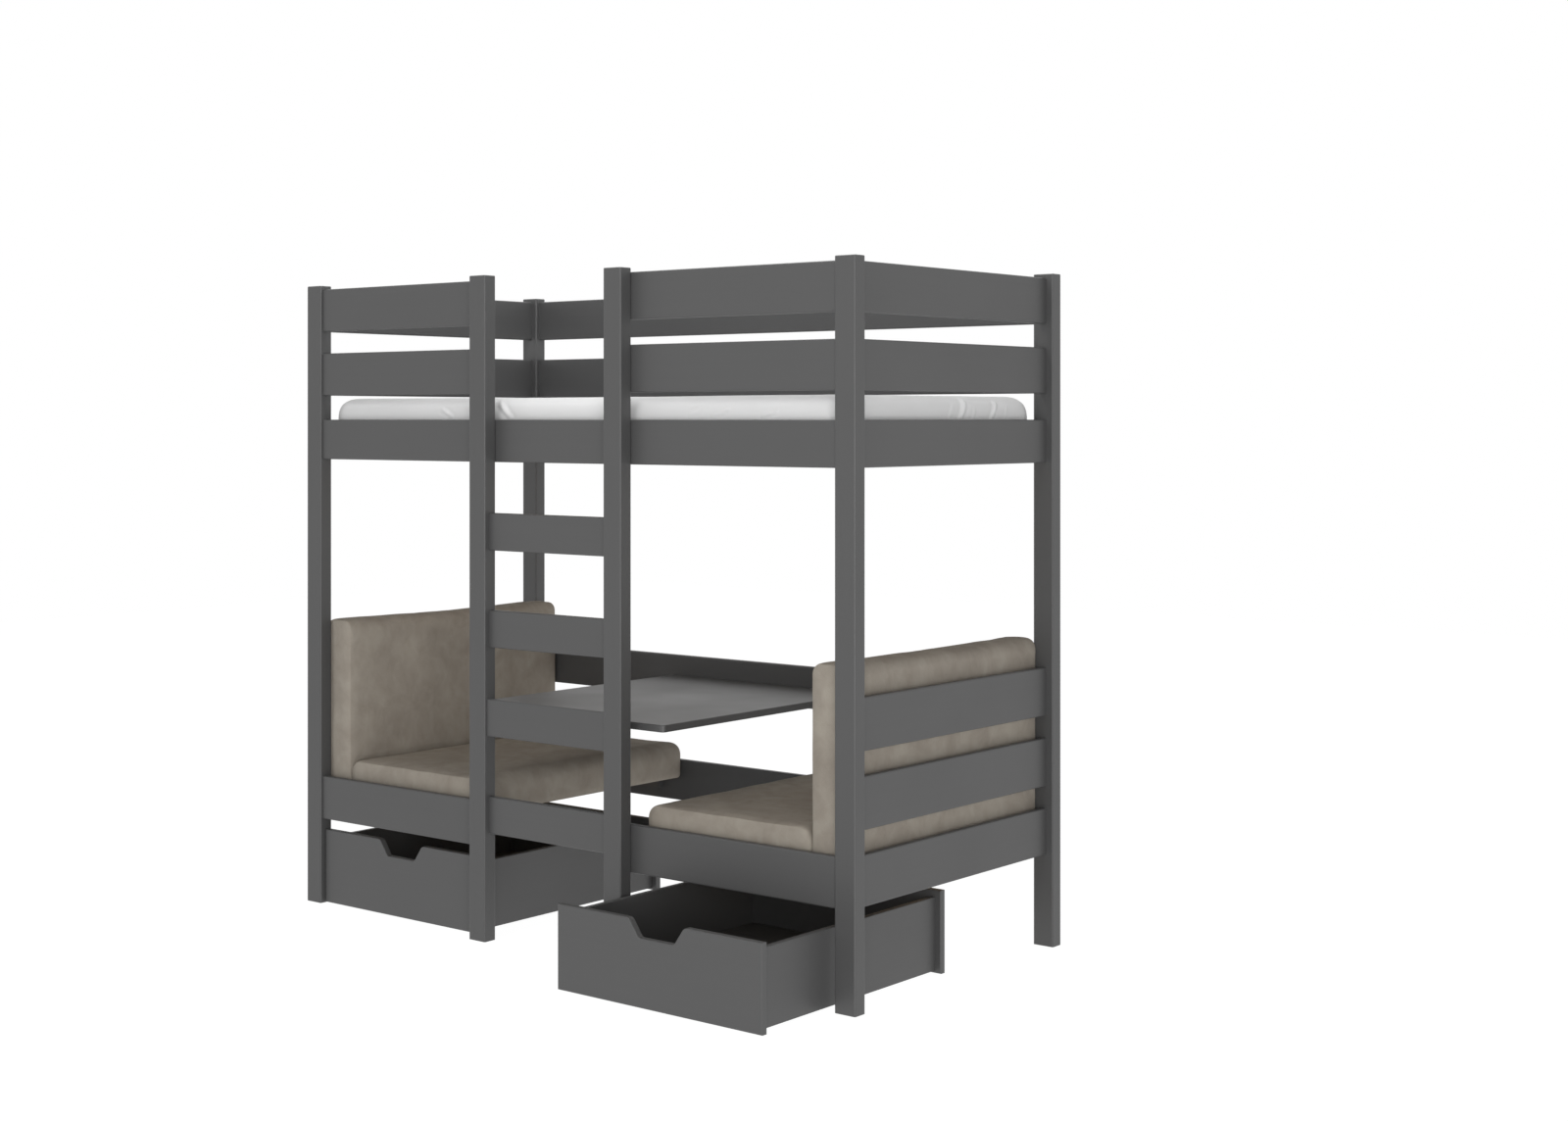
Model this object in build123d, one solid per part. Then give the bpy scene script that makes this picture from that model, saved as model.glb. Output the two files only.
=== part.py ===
"""Bunk bed for a 180 x 80 cm mattress, with two bench seats, a lift-off table and two drawers.

Millimetres, +Z up. The origin is on the floor under the middle of the whole object, as it
stands with its right drawer pulled out. +X runs along the bed to the right, the ladder and
the drawers are on the -Y side. One STEP file per piece or group of like pieces.
"""
import math
import os

from build123d import *

# Bed frame
bed_length = 1885.0
bed_width = 862.0
bed_height = 1688.0
post_length = 58.0
post_width = 38.0
post_round = 4.0
post_top_chamfer = 1.5
board_thickness = 18.0
board_round = 4.0
long_board_setback = 7.0
end_board_setback = 20.0

# Boards, by their heights, the level of their lower edge and, for the upper bunk, the gaps
# counted down from the tops of the posts
lower_rail_height = 117.0
lower_rail_bottom = 230.0
seat_board_height = 121.0
seat_board_low_bottom = 402.0
seat_board_high_bottom = 579.0
table_rail_height = 115.0
table_rail_bottom = 531.0
upper_rail_height = 108.0
guard_height = 115.0
guard_top_drop = 10.0
guard_gap = 60.0
guard_to_rail_gap = 66.0

# Ladder, standing in front of the front boards
ladder_width = 527.0
ladder_post_depth = 38.0
front_board_end_inset = 22.0
rung_thickness = 18.0
rung_height = 95.0
rung_setback = 15.5
table_rung_setback = 7.0
bottom_rung_bottom = 272.0
table_rung_drop = 68.5
second_rung_share = 0.323
top_rung_share = 0.6777

# Bolts that hold the front boards to the ladder posts, driven from inside
bolt_diameter = 8.0
bolt_hole_clearance = 0.2
bolt_head_diameter = 17.0
bolt_head_height = 3.0
bolt_head_round = 1.5
bolt_grip_in_post = 26.0
bolt_hole_spare_depth = 2.0
rail_bolt_spacing = 26.0
bolt_height_in_upper_rail = 76.0
bolt_height_in_lower_rail = 86.0

# Slats and the ledgers that carry them
slat_width = 70.0
slat_thickness = 15.0
slat_round = 3.0
slat_end_clearance = 3.0
ledger_width = 18.0
upper_ledger_height = 30.0
seat_ledger_height = 20.0
seat_ledger_spare = 5.0
upper_slat_rise = 52.0
upper_slat_count = 13
seat_slat_top = 296.0
seat_slat_count = 5
seat_slat_gap = 36.0
first_seat_slat_offset = 4.0

# Upper mattress
soft_clearance = 0.3
mattress_end_room = 9.5
mattress_side_room = 6.0
mattress_height = 110.0
mattress_crown = 4.0
mattress_corner_radius = 76.0
mattress_top_radius = 45.0
mattress_foot_radius = 18.0

# Seat and back cushions, all loose: the right-hand ones lie a little further in
cushion_side_room = 6.0
loose_shift_left = 0.0
loose_shift_right = 9.5
seat_top_radius = 34.0
back_top_radius = 29.0
cushion_foot_radius = 12.5
cushion_face_radius = 11.0
cushion_draw_in = 5.0
end_crown_share = 0.35
seat_cushion_length = 500.0
seat_cushion_height = 99.0
seat_cushion_crown = 5.0
seat_cushion_gap = 0.6
back_cushion_thickness = 98.0
back_cushion_height = 482.0
back_cushion_crown = 4.0

# Table top, its bearer on the ladder and its cleat on the back
table_length = 680.0
table_thickness = 18.0
table_top_level = 589.0
table_front_offset = 36.5
table_back_clearance = 0.5
table_corner_radius = 12.0
table_edge_round = 2.0
table_bearer_depth = 84.0
table_bearer_thickness = 24.0
table_bearer_end_clearance = 20.0
table_cleat_length = 600.0
table_cleat_width = 20.0
table_cleat_height = 32.0
cleat_round = 2.0

# Drawers
drawer_side_clearance = 4.5
drawer_panel_height = 198.5
drawer_panel_thickness = 18.0
drawer_panel_lift = 2.5
drawer_panel_round = 2.5
drawer_back_room = 173.0
drawer_recess = 13.0
right_drawer_pull = 262.0
drawer_side_thickness = 15.0
drawer_side_inset = 16.0
drawer_side_lift = 9.0
drawer_side_drop = 16.5
drawer_floor_thickness = 6.0
drawer_floor_level = 36.0
drawer_groove_depth = 6.0
drawer_groove_spare = 0.2
drawer_floor_end_clearance = 0.8

# Handle cut-out in the upper edge of each drawer front
handle_top_width = 166.0
handle_bottom_width = 106.0
handle_depth = 42.0
handle_top_radius = 15.0
handle_bottom_radius = 12.0

# Castors under each drawer
wheel_diameter = 30.0
wheel_width = 14.0
wheel_edge_round = 2.5
wheel_hub_diameter = 13.0
wheel_hub_recess = 1.5
axle_diameter = 5.0
axle_clearance = 0.1
axle_head_length = 1.0
castor_plate_thickness = 2.5
castor_side_gap = 1.3
castor_length = 30.0
castor_foot_clearance = 6.0
castor_side_offset = 26.0
castor_end_offset = 62.0
castor_round = 4.0

# One overrun for every cut, and how near a corner has to be to count as found
cut_overrun = 5.0
corner_tolerance = 0.01

# Levels and faces worked out from the sizes above
guard_high_bottom = bed_height - guard_top_drop - guard_height
guard_low_bottom = guard_high_bottom - guard_gap - guard_height
upper_rail_bottom = guard_low_bottom - guard_to_rail_gap - upper_rail_height
upper_slat_top = upper_rail_bottom + upper_slat_rise
table_rung_bottom = table_top_level - table_rung_drop
second_rung_bottom = table_rung_bottom + second_rung_share * (upper_rail_bottom - table_rung_bottom)
top_rung_bottom = table_rung_bottom + top_rung_share * (upper_rail_bottom - table_rung_bottom)
drawer_depth = bed_width - drawer_back_room
drawer_overhang = right_drawer_pull - drawer_recess
back_y = (bed_width + drawer_overhang) / 2
front_y = back_y - bed_width
end_x = bed_length / 2
post_inner_x = end_x - post_length
end_board_outer_x = end_x - end_board_setback
end_board_inner_x = end_board_outer_x - board_thickness
front_board_y = front_y + long_board_setback
front_board_inner_y = front_board_y + board_thickness
back_board_y = back_y - long_board_setback - board_thickness
middle_y = (front_y + back_y) / 2
ladder_outer_x = ladder_width / 2
ladder_inner_x = ladder_outer_x - post_length
ladder_back_y = front_board_y
ladder_front_y = ladder_back_y - ladder_post_depth
front_board_end_x = ladder_inner_x + front_board_end_inset
mattress_length = 2 * (end_board_inner_x - mattress_end_room)
mattress_width = back_board_y - front_board_inner_y - 2 * mattress_side_room
cushion_depth = back_board_y - front_board_inner_y - 2 * cushion_side_room
back_cushion_outer_x = end_board_inner_x - soft_clearance
seat_cushion_outer_x = (back_cushion_outer_x - back_cushion_thickness - back_cushion_crown
                        - seat_cushion_gap)
last_seat_slat_x = (post_inner_x - first_seat_slat_offset - seat_slat_count * slat_width
                    - (seat_slat_count - 1) * seat_slat_gap)


def block(x_low, x_high, y_low, y_high, z_low, z_high):
    """A plain box between two corners."""
    size = (x_high - x_low, y_high - y_low, z_high - z_low)
    middle = ((x_low + x_high) / 2, (y_low + y_high) / 2, (z_low + z_high) / 2)
    return Pos(*middle) * Box(*size)


def long_board(x_low, x_high, y_low, z_low, height, thickness=board_thickness, rounding=board_round):
    """A board along X with its four long edges rounded over."""
    board = block(x_low, x_high, y_low, y_low + thickness, z_low, z_low + height)
    return fillet(board.edges().filter_by(Axis.X), rounding)


def end_board(side, z_low, height):
    """A board across one end, between the front and the back post. side is -1 or 1."""
    x_low = min(side * end_board_inner_x, side * end_board_outer_x)
    board = block(x_low, x_low + board_thickness, front_y + post_width, back_y - post_width,
                  z_low, z_low + height)
    return fillet(board.edges().filter_by(Axis.Y), board_round)


def bolt_places():
    """X and Z of each ladder bolt on the right-hand ladder post."""
    post_middle = (ladder_inner_x + ladder_outer_x) / 2
    bolt_x = (front_board_end_x + ladder_outer_x) / 2
    places = [(bolt_x, guard_low_bottom + guard_height / 2), (bolt_x, guard_high_bottom + guard_height / 2)]
    for step in (-1, 1):
        upper_x = post_middle + step * rail_bolt_spacing / 2
        places.append((upper_x, upper_rail_bottom + bolt_height_in_upper_rail))
    places.append((bolt_x, lower_rail_bottom + bolt_height_in_lower_rail))
    return places


def along_y(diameter, x, y_low, y_high, z):
    """A round bar or hole along Y."""
    bar = Rot(90, 0, 0) * Cylinder(diameter / 2, y_high - y_low)
    return Pos(x, (y_low + y_high) / 2, z) * bar


def bolt_holes(sides=(-1, 1)):
    """The drilled holes for the ladder bolts, through the boards and blind in the posts."""
    hole = bolt_diameter + bolt_hole_clearance
    y_low = ladder_back_y - bolt_grip_in_post - bolt_hole_spare_depth
    y_high = front_board_inner_y + cut_overrun
    holes = []
    for side in sides:
        for x, z in bolt_places():
            holes.append(along_y(hole, side * x, y_low, y_high, z))
    return holes


def corner_post(side, y_low):
    """An upright of the bed, with eased edges and a chamfered top."""
    x_low = min(side * post_inner_x, side * end_x)
    return upright(x_low, y_low, post_width)


def upright(x_low, y_low, depth):
    """A square-cut upright from the floor to the top of the bed."""
    post = block(x_low, x_low + post_length, y_low, y_low + depth, 0, bed_height)
    post = fillet(post.edges().filter_by(Axis.Z), post_round)
    top = post.faces().sort_by(Axis.Z)[-1]
    return chamfer(top.edges(), post_top_chamfer)


def ladder_post(side):
    """A ladder upright, drilled from behind for its bolts."""
    x_low = min(side * ladder_inner_x, side * ladder_outer_x)
    post = upright(x_low, ladder_front_y, ladder_post_depth)
    return post - bolt_holes((side,))


def rung(z_low, setback):
    """A flat rung between the ladder posts."""
    y_low = ladder_front_y + setback
    return long_board(-ladder_inner_x, ladder_inner_x, y_low, z_low, rung_height, rung_thickness)


def front_board(side, z_low, height):
    """A front board from a corner post to just behind the ladder post, drilled for its bolts."""
    x_low = min(side * front_board_end_x, side * post_inner_x)
    x_high = max(side * front_board_end_x, side * post_inner_x)
    return long_board(x_low, x_high, front_board_y, z_low, height) - bolt_holes((side,))


def ladder_bolts():
    """The bolts of both ladder posts: a mushroom head on the inner face and a plain shank."""
    bolts = []
    for side in (-1, 1):
        for x, z in bolt_places():
            shank = along_y(bolt_diameter, side * x, ladder_back_y - bolt_grip_in_post, front_board_inner_y, z)
            head = along_y(bolt_head_diameter, side * x, front_board_inner_y,
                           front_board_inner_y + bolt_head_height, z)
            rim = head.edges().group_by(Axis.Y)[-1]
            head = fillet(rim, bolt_head_round)
            bolts.append(shank + head)
    return Compound(children=bolts)


def ledger(x_low, x_high, y_low, top, height):
    """A batten under the slat ends, fixed to a rail's inner face."""
    return block(x_low, x_high, y_low, y_low + ledger_width, top - height, top)


def slat(x_low, top):
    """One cross slat with its upper long edges eased."""
    y_low = front_board_inner_y + slat_end_clearance
    y_high = back_board_y - slat_end_clearance
    plank = block(x_low, x_low + slat_width, y_low, y_high, top - slat_thickness, top)
    upper = plank.edges().filter_by(Axis.Y).group_by(Axis.Z)[-1]
    return fillet(upper, slat_round)


def upper_slats():
    """The upper slats, evenly spaced between the two end boards."""
    room = 2 * end_board_inner_x
    gap = (room - upper_slat_count * slat_width) / (upper_slat_count + 1)
    slats = []
    for number in range(upper_slat_count):
        x_low = -end_board_inner_x + gap + number * (slat_width + gap)
        slats.append(slat(x_low, upper_slat_top))
    return Compound(children=slats)


def seat_slats(side):
    """The slats under one bench seat, counted from the corner posts inwards."""
    slats = []
    for number in range(seat_slat_count):
        outer = post_inner_x - first_seat_slat_offset - number * (slat_width + seat_slat_gap)
        x_low = min(side * outer, side * (outer - slat_width))
        slats.append(slat(x_low, seat_slat_top))
    return Compound(children=slats)


def cushion_section(x_low, x_high, y, z_low, z_high, top_radius, crown_x, crown_z, draw_in):
    """An upright section of a cushion: four round corners joined by lines or crowned arcs.

    crown_x bulges the side that faces the middle of the bed, crown_z the top.
    draw_in pulls the free ends in.
    """
    foot = cushion_foot_radius
    middle_of_arc_share = 1 - math.sqrt(1 / 2)
    left = x_low + (0 if crown_x else draw_in)
    right = x_high - (0 if crown_x else draw_in)
    top = z_high - (draw_in if crown_x else 0)
    top_corner = top_radius * middle_of_arc_share
    foot_corner = foot * middle_of_arc_share
    middle_x = (left + right) / 2
    middle_z = (z_low + top) / 2

    def at(x, z):
        return (x, y, z)

    bottom_line = Line(at(left + foot, z_low), at(right - foot, z_low))
    bottom_right = ThreePointArc(at(right - foot, z_low), at(right - foot_corner, z_low + foot_corner),
                                 at(right, z_low + foot))
    right_side = ThreePointArc(at(right, z_low + foot), at(right + crown_x, middle_z),
                               at(right, top - top_radius)) if crown_x else \
        Line(at(right, z_low + foot), at(right, top - top_radius))
    top_right = ThreePointArc(at(right, top - top_radius), at(right - top_corner, top - top_corner),
                              at(right - top_radius, top))
    top_line = ThreePointArc(at(right - top_radius, top), at(middle_x, top + crown_z),
                             at(left + top_radius, top)) if crown_z else \
        Line(at(right - top_radius, top), at(left + top_radius, top))
    top_left = ThreePointArc(at(left + top_radius, top), at(left + top_corner, top - top_corner),
                             at(left, top - top_radius))
    left_side = Line(at(left, top - top_radius), at(left, z_low + foot))
    bottom_left = ThreePointArc(at(left, z_low + foot), at(left + foot_corner, z_low + foot_corner),
                                at(left + foot, z_low))
    return make_face([bottom_line, bottom_right, right_side, top_right, top_line, top_left,
                      left_side, bottom_left])


def cushion(x_low, x_high, z_low, z_high, top_radius, crown_x, crown_z):
    """A foam cushion: fullest in the middle, drawn in between its corners, with rounded faces."""
    y_low = middle_y - cushion_depth / 2
    y_high = middle_y + cushion_depth / 2
    sections = [
        cushion_section(x_low, x_high, y_low, z_low, z_high, top_radius,
                        crown_x * end_crown_share, crown_z * end_crown_share, 0),
        cushion_section(x_low, x_high, middle_y, z_low, z_high, top_radius,
                        crown_x, crown_z, cushion_draw_in),
        cushion_section(x_low, x_high, y_high, z_low, z_high, top_radius,
                        crown_x * end_crown_share, crown_z * end_crown_share, 0),
    ]
    body = loft(sections)
    faces = body.faces().sort_by(Axis.Y)
    rims = faces[0].edges() + faces[-1].edges()
    return fillet(rims, cushion_face_radius)


def post_spaces():
    """The room that the two left corner posts take, with the clearance of a soft part."""
    x_high = -post_inner_x + soft_clearance
    depth = post_width + soft_clearance
    return [block(-end_x, x_high, front_y, front_y + depth, 0, bed_height),
            block(-end_x, x_high, back_y - depth, back_y, 0, bed_height)]


def back_cushion(shift):
    """A left-hand back cushion. It stands on the seat slats against the end boards, and its
    foam is nicked at the two outer corners to go past the posts. shift moves it inwards."""
    x_low = -back_cushion_outer_x + shift
    z_low = seat_slat_top + soft_clearance
    whole = cushion(x_low, x_low + back_cushion_thickness, z_low, z_low + back_cushion_height,
                    back_top_radius, back_cushion_crown, 0)
    return whole - post_spaces()


def seat_cushion(shift):
    """A left-hand seat cushion, lying on the seat slats in front of the back cushion."""
    x_low = -seat_cushion_outer_x + shift
    z_low = seat_slat_top + soft_clearance
    return cushion(x_low, x_low + seat_cushion_length, z_low, z_low + seat_cushion_height,
                   seat_top_radius, 0, seat_cushion_crown)


def mattress():
    """The upper mattress: round corners in plan, a low crown along it and rounded rims."""
    z_low = upper_slat_top + soft_clearance
    z_high = z_low + mattress_height
    half = mattress_length / 2
    plan = Pos(0, middle_y, z_low) * RectangleRounded(mattress_length, mattress_width,
                                                      mattress_corner_radius)
    tall = mattress_height + 2 * mattress_crown
    body = extrude(plan, tall)
    y_low = middle_y - mattress_width
    outline = [
        Line((-half, y_low, z_low), (half, y_low, z_low)),
        Line((half, y_low, z_low), (half, y_low, z_high)),
        ThreePointArc((half, y_low, z_high), (0, y_low, z_high + mattress_crown), (-half, y_low, z_high)),
        Line((-half, y_low, z_high), (-half, y_low, z_low)),
    ]
    crown = extrude(make_face(outline), amount=2 * mattress_width, dir=(0, 1, 0))
    body = body & crown
    foot = body.faces().sort_by(Axis.Z)[0]
    body = fillet(foot.edges(), mattress_foot_radius)
    top = body.faces().sort_by(Axis.Z)[-1]
    return fillet(top.edges(), mattress_top_radius)


def table_top():
    """The table top, with round corners in plan and softened edges."""
    y_low = front_y + table_front_offset
    y_high = back_board_y - table_back_clearance
    plan = Pos(0, (y_low + y_high) / 2, table_top_level - table_thickness) * \
        RectangleRounded(table_length, y_high - y_low, table_corner_radius)
    top = extrude(plan, table_thickness)
    faces = top.faces().sort_by(Axis.Z)
    rims = faces[0].edges() + faces[-1].edges()
    return fillet(rims, table_edge_round)


def table_bearer():
    """The wide batten behind the table rung that carries the front of the table."""
    y_low = ladder_front_y + table_rung_setback + rung_thickness
    x_high = ladder_inner_x - table_bearer_end_clearance
    bottom = table_top_level - table_thickness - table_bearer_thickness
    return long_board(-x_high, x_high, y_low, bottom, table_bearer_thickness,
                      table_bearer_depth, cleat_round)


def table_cleat():
    """The cleat on the back rail that carries the rear edge of the table."""
    bottom = table_top_level - table_thickness - table_cleat_height
    return long_board(-table_cleat_length / 2, table_cleat_length / 2, back_board_y - table_cleat_width,
                      bottom, table_cleat_height, table_cleat_width, cleat_round)


# Drawer sizes worked out from the frame. A drawer is built centred on X with its front at Y 0.
drawer_width = post_inner_x - ladder_outer_x - 2 * drawer_side_clearance
drawer_middle_x = (post_inner_x + ladder_outer_x) / 2
drawer_side_outer_x = drawer_width / 2 - drawer_side_inset
drawer_side_inner_x = drawer_side_outer_x - drawer_side_thickness
drawer_side_top = drawer_panel_lift + drawer_panel_height - drawer_side_drop
castor_x = drawer_side_inner_x - castor_side_offset
castor_front_y = drawer_panel_thickness + castor_end_offset
castor_back_y = drawer_depth - drawer_panel_thickness - castor_end_offset
castor_inner_width = wheel_width + 2 * castor_side_gap
castor_outer_width = castor_inner_width + 2 * castor_plate_thickness


def floor_groove():
    """The space that the drawer floor takes out of the four walls around it."""
    x_high = drawer_side_inner_x + drawer_groove_depth
    y_low = drawer_panel_thickness - drawer_groove_depth
    z_low = drawer_floor_level - drawer_groove_spare
    z_high = drawer_floor_level + drawer_floor_thickness + drawer_groove_spare
    return block(-x_high, x_high, y_low, drawer_depth - y_low, z_low, z_high)


def drawer_panel(y_low, with_handle):
    """The front or back panel of a drawer. The front has the handle cut-out."""
    top = drawer_panel_lift + drawer_panel_height
    middle_z = drawer_panel_lift + drawer_panel_height / 2
    outline = Rectangle(drawer_width, drawer_panel_height)
    if with_handle:
        upper = drawer_panel_height / 2
        lower = upper - handle_depth
        cut = Polygon((-handle_top_width / 2, upper), (-handle_bottom_width / 2, lower),
                      (handle_bottom_width / 2, lower), (handle_top_width / 2, upper), align=None)
        outline = outline - cut
        points = outline.vertices()
        lips = [p for p in points if abs(abs(p.X) - handle_top_width / 2) < corner_tolerance]
        outline = fillet(lips, handle_top_radius)
        points = outline.vertices()
        corners = [p for p in points if abs(abs(p.X) - handle_bottom_width / 2) < corner_tolerance]
        outline = fillet(corners, handle_bottom_radius)
    upright_plane = Plane(origin=(0, y_low + drawer_panel_thickness, middle_z), x_dir=(1, 0, 0),
                          z_dir=(0, -1, 0))
    panel = extrude(upright_plane * outline, drawer_panel_thickness)
    faces = panel.faces().filter_by(Axis.Y).sort_by(Axis.Y)
    rims = faces[0].edges() + faces[-1].edges()
    panel = fillet(rims, drawer_panel_round)
    return panel - floor_groove()


def drawer_side(side):
    """One side of a drawer, between the front and the back panel."""
    x_low = min(side * drawer_side_inner_x, side * drawer_side_outer_x)
    board = block(x_low, x_low + drawer_side_thickness, drawer_panel_thickness,
                  drawer_depth - drawer_panel_thickness, drawer_side_lift, drawer_side_top)
    board = fillet(board.edges().filter_by(Axis.Y).group_by(Axis.Z)[-1], drawer_panel_round)
    return board - floor_groove()


def drawer_floor():
    """The drawer floor, held in the grooves of the four walls."""
    x_high = drawer_side_inner_x + drawer_groove_depth - drawer_floor_end_clearance
    y_low = drawer_panel_thickness - drawer_groove_depth + drawer_floor_end_clearance
    return block(-x_high, x_high, y_low, drawer_depth - y_low, drawer_floor_level,
                 drawer_floor_level + drawer_floor_thickness)


def along_x(diameter, x_low, x_high, y, z):
    """A round bar or hole along X."""
    bar = Rot(0, 90, 0) * Cylinder(diameter / 2, x_high - x_low)
    return Pos((x_low + x_high) / 2, y, z) * bar


def castor(x, y):
    """A castor housing under the floor, an upturned channel, and the axle riveted through it."""
    x_low = x - castor_outer_width / 2
    x_high = x + castor_outer_width / 2
    bottom = castor_foot_clearance
    housing = block(x_low, x_high, y - castor_length / 2, y + castor_length / 2, bottom,
                    drawer_floor_level)
    feet = housing.edges().filter_by(Axis.X).group_by(Axis.Z)[0]
    housing = fillet(feet, castor_round)
    channel = block(x - castor_inner_width / 2, x + castor_inner_width / 2,
                    y - castor_length / 2 - cut_overrun, y + castor_length / 2 + cut_overrun,
                    bottom - cut_overrun, drawer_floor_level - castor_plate_thickness)
    hole = along_x(axle_diameter, x_low - cut_overrun, x_high + cut_overrun, y, wheel_diameter / 2)
    housing = housing - channel - hole
    axle = along_x(axle_diameter, x_low - axle_head_length, x_high + axle_head_length, y,
                   wheel_diameter / 2)
    return [housing, axle]


def wheel(x, y):
    """A plastic wheel with a rounded tread, dished sides and a bore for its axle."""
    half = wheel_width / 2
    radius = wheel_diameter / 2
    tyre = along_x(wheel_diameter, x - half, x + half, y, radius)
    rims = tyre.edges().filter_by(GeomType.CIRCLE)
    tyre = fillet(rims, wheel_edge_round)
    dish_diameter = wheel_diameter - 2 * (wheel_edge_round + 2 * wheel_hub_recess)
    bore = along_x(axle_diameter + 2 * axle_clearance, x - half - cut_overrun, x + half + cut_overrun,
                   y, radius)
    for face in (-1, 1):
        outer = x + face * (half + cut_overrun)
        inner = x + face * (half - wheel_hub_recess)
        dish = along_x(dish_diameter, min(outer, inner), max(outer, inner), y, radius)
        hub = along_x(wheel_hub_diameter, min(outer, inner), max(outer, inner), y, radius)
        tyre = tyre - (dish - hub)
    return tyre - bore


def drawer_pieces(name, place):
    """All the pieces of one drawer, moved to its place."""
    pair_front = [wheel(side * castor_x, castor_front_y) for side in (-1, 1)]
    pair_back = [wheel(side * castor_x, castor_back_y) for side in (-1, 1)]
    housings = []
    for side in (-1, 1):
        for y in (castor_front_y, castor_back_y):
            housings += castor(side * castor_x, y)
    pieces = {
        "front": drawer_panel(0, True),
        "back": drawer_panel(drawer_depth - drawer_panel_thickness, False),
        "side_left": drawer_side(-1),
        "side_right": drawer_side(1),
        "floor": drawer_floor(),
        "castor_frames": Compound(children=housings),
        "wheels_front": Compound(children=pair_front),
        "wheels_back": Compound(children=pair_back),
    }
    return {f"{name}_{piece}": place * shape for piece, shape in pieces.items()}


def frame_pieces():
    """The posts, ladder, rails, guard boards, ledgers, slats and bolts."""
    back_post_y = back_y - post_width
    long_inner = post_inner_x
    upper_ledger_top = upper_slat_top - slat_thickness
    seat_ledger_top = seat_slat_top - slat_thickness
    back_ledger_y = back_board_y - ledger_width
    seat_ledger_end = last_seat_slat_x - seat_ledger_spare
    pieces = {
        "post_front_left": corner_post(-1, front_y),
        "post_front_right": corner_post(1, front_y),
        "post_back_left": corner_post(-1, back_post_y),
        "post_back_right": corner_post(1, back_post_y),
        "ladder_post_left": ladder_post(-1),
        "ladder_post_right": ladder_post(1),
        "rung_top": rung(top_rung_bottom, rung_setback),
        "rung_second": rung(second_rung_bottom, rung_setback),
        "rung_table": rung(table_rung_bottom, table_rung_setback),
        "rung_bottom": rung(bottom_rung_bottom, rung_setback),
        "lower_rail_front_left": front_board(-1, lower_rail_bottom, lower_rail_height),
        "lower_rail_front_right": front_board(1, lower_rail_bottom, lower_rail_height),
        "lower_rail_back": long_board(-long_inner, long_inner, back_board_y, lower_rail_bottom,
                                      lower_rail_height),
        "lower_rail_left": end_board(-1, lower_rail_bottom, lower_rail_height),
        "lower_rail_right": end_board(1, lower_rail_bottom, lower_rail_height),
        "table_rail_back": long_board(-long_inner, long_inner, back_board_y, table_rail_bottom,
                                      table_rail_height),
        "upper_rail_front": long_board(-long_inner, long_inner, front_board_y, upper_rail_bottom,
                                       upper_rail_height) - bolt_holes(),
        "upper_rail_back": long_board(-long_inner, long_inner, back_board_y, upper_rail_bottom,
                                      upper_rail_height),
        "upper_rail_left": end_board(-1, upper_rail_bottom, upper_rail_height),
        "upper_rail_right": end_board(1, upper_rail_bottom, upper_rail_height),
        "upper_ledger_front": ledger(-long_inner, long_inner, front_board_inner_y, upper_ledger_top,
                                     upper_ledger_height),
        "upper_ledger_back": ledger(-long_inner, long_inner, back_ledger_y, upper_ledger_top,
                                    upper_ledger_height),
        "upper_slats": upper_slats(),
        "seat_slats_left": seat_slats(-1),
        "seat_slats_right": seat_slats(1),
        "ladder_bolts": ladder_bolts(),
    }
    for row, y_low in (("front", front_board_inner_y), ("back", back_ledger_y)):
        pair = [ledger(-long_inner, -seat_ledger_end, y_low, seat_ledger_top, seat_ledger_height),
                ledger(seat_ledger_end, long_inner, y_low, seat_ledger_top, seat_ledger_height)]
        pieces[f"seat_ledgers_{row}"] = Compound(children=pair)
    guard_levels = (guard_low_bottom, guard_high_bottom)
    seat_board_levels = (seat_board_low_bottom, seat_board_high_bottom)
    for side, word in ((-1, "left"), (1, "right")):
        pieces[f"guards_front_{word}"] = Compound(
            children=[front_board(side, level, guard_height) for level in guard_levels])
        pieces[f"guards_{word}"] = Compound(
            children=[end_board(side, level, guard_height) for level in guard_levels])
        pieces[f"seat_boards_{word}"] = Compound(
            children=[end_board(side, level, seat_board_height) for level in seat_board_levels])
    pieces["guards_back"] = Compound(
        children=[long_board(-long_inner, long_inner, back_board_y, level, guard_height)
                  for level in guard_levels])
    return pieces


def soft_pieces():
    """The mattress and the four loose cushions. The right-hand ones are made on the left and
    mirrored."""
    return {
        "mattress": mattress(),
        "seat_cushion_left": seat_cushion(loose_shift_left),
        "seat_cushion_right": mirror(seat_cushion(loose_shift_right), about=Plane.YZ),
        "back_cushion_left": back_cushion(loose_shift_left),
        "back_cushion_right": mirror(back_cushion(loose_shift_right), about=Plane.YZ),
    }


def table_pieces():
    """The lift-off table top and the two pieces that carry it."""
    return {"table_top": table_top(), "table_bearer": table_bearer(), "table_cleat": table_cleat()}


drawer_closed_y = front_y + drawer_recess
parts = {}
parts.update(frame_pieces())
parts.update(soft_pieces())
parts.update(table_pieces())
parts.update(drawer_pieces("drawer_left", Pos(-drawer_middle_x, drawer_closed_y, 0)))
parts.update(drawer_pieces("drawer_right", Pos(drawer_middle_x, drawer_closed_y - right_drawer_pull, 0)))

os.makedirs("parts", exist_ok=True)
for name, shape in parts.items():
    export_step(shape, f"parts/{name}.step")
print(len(parts), "nodes")
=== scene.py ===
"""Looks for the grey bunk bed: paint, pine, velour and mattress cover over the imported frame."""
import math

import bmesh
import bpy
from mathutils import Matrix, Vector, kdtree, noise


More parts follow.
